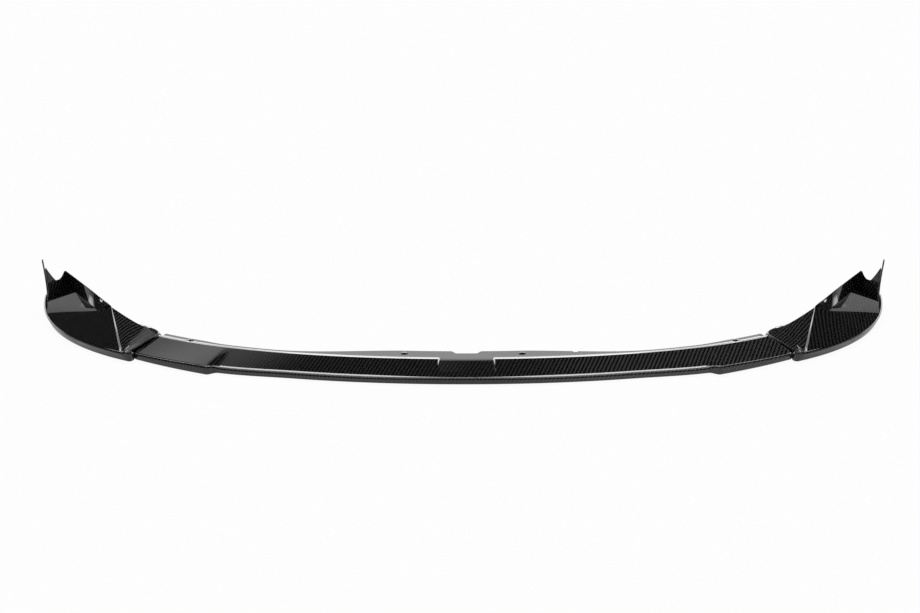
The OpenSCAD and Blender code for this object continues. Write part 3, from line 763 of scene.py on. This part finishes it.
for piece in (centre, right_blade, left_blade):
    keep_inside(piece, *cad_box)
    smooth(piece, 32)
    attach(piece, "root")
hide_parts("centre_splitter")
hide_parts("right_end_blade")
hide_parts("left_end_blade")

# %% [markdown]
# Lacquered carbon is black fibre in clear resin under a hard clear coat. The cloth is a 2x2 twill:
# every tow passes over two and under two, and each row is shifted by one tow, which draws the ribs.
# The pattern is worked out from the cloth's own flat coordinates, so it folds round the edges as real
# cloth does. The twill is the cloth's own pattern, but the warp tows are painted lighter, with a painted
# highlight along each tow's crown, as a painted sheen in the base colour; the smooth coat over them mirrors
# the studio.
#
# How bright the tows look on the real part depends on how the fibres lie to the lamps. A plain shader
# doesn't show that, so that light is painted into the cloth in three strengths: a brighter painted sheen
# for the inner facets of the blades, a painted shade that dims the tows on the rest of them, and for the
# centre a painted highlight that grows brighter towards its right-hand end.


# %% Shader helpers
class Field:
    """A socket that can be used in plain sums."""

    def __init__(self, tree, socket):
        self.tree, self.socket = tree, socket

    def math(self, operation, *others):
        return node(self.tree, "ShaderNodeMath", {"operation": operation},
                    {i: v for i, v in enumerate((self,) + others)})

    def __add__(self, other): return self.math("ADD", other)
    def __sub__(self, other): return self.math("SUBTRACT", other)
    def __mul__(self, other): return self.math("MULTIPLY", other)
    def __lt__(self, other): return self.math("LESS_THAN", other)
    def __rsub__(self, other): return (self * -1) + other
    __radd__, __rmul__ = __add__, __mul__


def node(tree, kind, settings=None, values=None, output=0):
    made = tree.nodes.new(kind)
    for key, value in (settings or {}).items():
        if key == "stops":
            for stop, (position, colour) in zip(made.color_ramp.elements, value):
                stop.position, stop.color = position, colour
        else:
            setattr(made, key, value)
    for key, value in (values or {}).items():
        if isinstance(value, Field):
            tree.links.new(value.socket, made.inputs[key])
        else:
            made.inputs[key].default_value = value
    return Field(tree, made.outputs[output])


def new_material(name):
    material = bpy.data.materials.new(name)
    material.use_nodes = True
    material.node_tree.nodes.clear()
    return material, material.node_tree


# %% Carbon laminate
TOW_W, CLOTH_TURN = 0.0027, math.radians(-30)
# painted highlight: where along object X the centre's painted tow sheen ramps from faint to bright
SHEEN_RAMP_START, SHEEN_RAMP_END = 0.05, 0.4
RESIN = (0.0025, 0.0025, 0.003, 1)


def carbon(name, lacquer, dark, light, faint=1, bright=1):
    material, tree = new_material(name)
    cloth = node(tree, "ShaderNodeUVMap", {"uv_map": "UVMap"})
    cut = node(tree, "ShaderNodeVectorRotate", {"rotation_type": "Z_AXIS"},
               {"Vector": cloth, "Angle": CLOTH_TURN})
    parts = node(tree, "ShaderNodeSeparateXYZ", None, {0: cut})
    across = parts * (1 / TOW_W)
    up = Field(tree, parts.socket.node.outputs[1]) * (1 / TOW_W)
    column, row = across.math("FLOOR"), up.math("FLOOR")
    warp = (column - row).math("FLOORED_MODULO", 4) < 1.5
    side = (across - column) - 0.5
    rise = (up - row) - 0.5
    over_warp = 1 - side * side * 4
    over_weft = 1 - rise * rise * 4
    crown = over_weft + (over_warp - over_weft) * warp
    grain = node(tree, "ShaderNodeTexNoise", None, {"Vector": cut, "Scale": 900, "Detail": 1})
    place_on = node(tree, "ShaderNodeTexCoord", None, None, 3)
    from_middle = node(tree, "ShaderNodeSeparateXYZ", None, {0: place_on})
    # painted highlight: the tow sheen is scaled from faint to bright along object X
    painted_ramp = node(tree, "ShaderNodeMapRange", {"interpolation_type": "SMOOTHSTEP"},
                 {0: from_middle, 1: SHEEN_RAMP_START, 2: SHEEN_RAMP_END, 3: faint, 4: bright})
    # painted sheen: the warp tows, brightest along their crowns, get the lighter colour
    painted_sheen = warp * (crown * 0.6 + 0.4) * (grain * 0.3 + 0.85) * painted_ramp
    colour = node(tree, "ShaderNodeMix", {"data_type": "RGBA"}, {0: painted_sheen, 6: dark, 7: light}, 2)
    bump = node(tree, "ShaderNodeBump", None, {"Strength": 0.35, "Distance": 0.0002, "Height": crown})
    shader = node(tree, "ShaderNodeBsdfPrincipled", None, {
        "Base Color": colour, "Roughness": 0.38, "Normal": bump, "Specular IOR Level": 0.0,
        "Coat Weight": lacquer, "Coat Roughness": 0.03, "Coat IOR": 1.5})
    node_out(tree, shader)
    return material


def node_out(tree, shader):
    node_made = tree.nodes.new("ShaderNodeOutputMaterial")
    tree.links.new(shader.socket, node_made.inputs[0])


# lit and shaded copies of one cloth: painted sheen for inner facets, painted shade for the other blade
# facets, painted highlight ramp for the centre
lacquered = carbon("lacquered_twill", 1.0, RESIN, (0.055, 0.055, 0.056, 1))
lacquered_painted_shade = carbon("lacquered_twill_painted_shade", 1.0, RESIN, (0.028, 0.028, 0.0285, 1))
lacquered_sheen_ramp = carbon("lacquered_twill_sheen_ramp", 1.0, RESIN, (0.055, 0.055, 0.056, 1), 0.5, 1.4)
bare = carbon("bare_twill", 0.0, (0.006, 0.006, 0.0065, 1), (0.03, 0.03, 0.031, 1))


def dress(piece, *materials):
    piece.data.materials.clear()
    for material in materials:
        piece.data.materials.append(material)


dress(centre, lacquered_sheen_ramp)
for blade in (right_blade, left_blade):
    sides_of_ridge = [face.material_index for face in blade.data.polygons]
    dress(blade, lacquered, lacquered_painted_shade)
    blade.data.polygons.foreach_set("material_index", sides_of_ridge)
print("tow width", TOW_W)

# %% Bare carbon plates and zinc hardware
def zinc():
    material, tree = new_material("bright_zinc")
    place_on = node(tree, "ShaderNodeTexCoord", None, None, 3)
    cloud = node(tree, "ShaderNodeTexNoise", None, {"Vector": place_on, "Scale": 300, "Detail": 4})
    colour = node(tree, "ShaderNodeMix", {"data_type": "RGBA"},
                  {0: cloud, 6: (0.5, 0.51, 0.54, 1), 7: (0.68, 0.68, 0.66, 1)}, 2)
    bump = node(tree, "ShaderNodeBump", None, {"Strength": 0.1, "Distance": 0.0001, "Height": cloud})
    shader = node(tree, "ShaderNodeBsdfPrincipled", None, {
        "Base Color": colour, "Metallic": 1.0, "Roughness": cloud * 0.2 + 0.2, "Normal": bump})
    node_out(tree, shader)
    return material


plated = zinc()
for name in ("joint_screws", "joint_washers", "joint_nuts"):
    dress(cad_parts[name], plated)
for name in ("left_joint_plate", "right_joint_plate"):
    dress(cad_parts[name], bare)

# %% [markdown]
# The studio is a white sweep that goes on past every edge of the picture, with a dark room above it.
# A black gloss part shows nothing but that room, so the heights at which light turns to dark decide
# which of its facets shine. The room has a pale horizon, a dark wall, a strip of light on the far side
# that draws the bright lines along the edges, and a soft ceiling. Together they light a level surface
# about as much as a plain white room would, so colours render about as they are written.

# %% Floor and room
deselect()
bpy.ops.mesh.primitive_grid_add(x_subdivisions=40, y_subdivisions=40, size=60)
floor = bpy.context.object
floor.name = floor.data.name = "studio_floor"
for vertex in floor.data.vertices:
    vertex.co.z = -0.0004
material, tree = new_material("white_sweep")
seen = node(tree, "ShaderNodeLightPath", None, None, 0)
mirrored = Field(tree, seen.socket.node.outputs["Is Glossy Ray"])
passed = Field(tree, seen.socket.node.outputs["Is Transmission Ray"])
white = node(tree, "ShaderNodeEmission", None, {"Color": (1, 1, 1, 1), "Strength": 1})
matt = node(tree, "ShaderNodeBsdfDiffuse", None, {"Color": (0.9, 0.9, 0.9, 1)})
share = ((seen + mirrored) + passed).math("MINIMUM", 1) * 0.95
node_out(tree, node(tree, "ShaderNodeMixShader", None, {0: share, 1: matt, 2: white}))
dress(floor, material)

world = bpy.data.worlds.new("studio")
bpy.context.scene.world = world
world.use_nodes = True
tree = world.node_tree
tree.nodes.clear()
heading = node(tree, "ShaderNodeTexCoord", None, None, 0)
height = node(tree, "ShaderNodeSeparateXYZ", None, {0: heading}, 2)
to_right, away = (Field(tree, height.socket.node.outputs[i]) for i in (0, 1))


def elevation(degrees):
    return math.sin(math.radians(degrees))


def between(field, start, end, before, after):
    """Goes smoothly from one level before `start` to another after `end`."""
    return node(tree, "ShaderNodeMapRange", {"interpolation_type": "SMOOTHSTEP"},
                {0: field, 1: start, 2: end, 3: before, 4: after})


def turn_from(low, high, below, above):
    return between(height, elevation(low), elevation(high), below, above)


LEFT_WAY, LEFT_SPREAD, LEFT_LEVEL = math.radians(-9), math.radians(9), 0.35
HORIZON, HORIZON_FAR, MIST_FAR, PALE, CEILING, DARK, STRIP = 0.6, 2.8, 0.65, 0.42, 1.6, 0.02, 10
left_way = Vector((math.sin(LEFT_WAY), math.cos(LEFT_WAY), 0.45)).normalized()
near_left = node(tree, "ShaderNodeVectorMath", {"operation": "DOT_PRODUCT"}, {0: heading, 1: left_way}, 1)
left_glow = between(near_left, math.cos(LEFT_SPREAD), 1, 0, LEFT_LEVEL)
far_side = between(away, 0.3, 0.45, 0, 1)
ahead = between(to_right, -0.24, -0.17, 0, 1) * (1 - between(to_right, 0, 0.06, 0, 1))
low_sky = (turn_from(11, 13.5, HORIZON_FAR, MIST_FAR) * far_side + HORIZON) * turn_from(16, 18, 1, 0)
soft_sky = turn_from(16, 18, 0, PALE) * turn_from(21.5, 24.5, 1, 0) * ahead
strip = turn_from(48, 50, 0, STRIP) * turn_from(54, 56, 1, 0) * far_side
sky = low_sky + soft_sky + turn_from(58, 66, DARK, CEILING) + strip + left_glow
glow = node(tree, "ShaderNodeBackground", None, {"Color": (1, 1, 1, 1), "Strength": sky})
out = tree.nodes.new("ShaderNodeOutputWorld")
tree.links.new(glow.socket, out.inputs[0])
print("strip of light", STRIP, "ceiling", CEILING)

# %% [markdown]
# The flat platforms of the blades would mirror nothing but the dark wall behind them. A small dim card
# of light stands before each wall, as a photographer holds a white card into a dark corner, and the
# platforms mirror it in one even grey. The card leans forward and its upper edge falls outwards, so
# that the grey ends at the crease, and its narrow spread keeps it out of the other facets.

# %% Cards of light before the notched walls
CARD_LEVEL, CARD_W, CARD_H, CARD_SPREAD = 0.64, 0.12, 0.075, math.radians(70)
CARD_WAY, CARD_TILT, CARD_SLANT = (0.37, 0.93), math.radians(20), math.radians(32)
card_spot = place(0.927, 0.812, 46)
focus = math.tan(CARD_SPREAD / 2) / (math.tan(CARD_SPREAD / 2) - CARD_SPREAD / 2)
for side in (-1, 1):
    facing = Vector((-CARD_WAY[0] * side, -CARD_WAY[1], -math.tan(CARD_TILT)))
    deselect()
    bpy.ops.object.light_add(type="AREA", location=to_frame(Vector((side * card_spot.x, *card_spot.yz))))
    card = bpy.context.object
    card.name = "card_" + ("right" if side > 0 else "left")
    card.data.shape, card.data.size, card.data.size_y = "RECTANGLE", CARD_W, CARD_H
    card.data.energy = CARD_LEVEL * math.pi * CARD_W * CARD_H / focus
    card.data.spread = CARD_SPREAD
    card.visible_camera = False
    upright = facing.to_track_quat("-Z", "Y").to_matrix()
    card.rotation_euler = (upright @ Matrix.Rotation(side * CARD_SLANT, 3, "Z")).to_euler()
    print(card.name, tuple(round(v, 3) for v in card.location))

# %% [markdown]
# The camera was found by laying the CAD model over the photograph: a long lens from about four and a
# half metres, looking down by twenty degrees, with the middle of the picture a little inboard.

# %% Camera
DISTANCE, PITCH, AIM = 4.6, math.radians(20), Vector((0, 0.1391, 0.03))
deselect()
bpy.ops.object.camera_add(location=AIM + DISTANCE * Vector((0, -math.cos(PITCH), math.sin(PITCH))),
                          rotation=(math.pi / 2 - PITCH, 0, 0))
camera = bpy.context.object
camera.data.lens, camera.data.sensor_width = 84, 36
camera.data.shift_x = -3.2 / 920
bpy.context.scene.camera = camera
bpy.context.scene.view_settings.view_transform = "Standard"
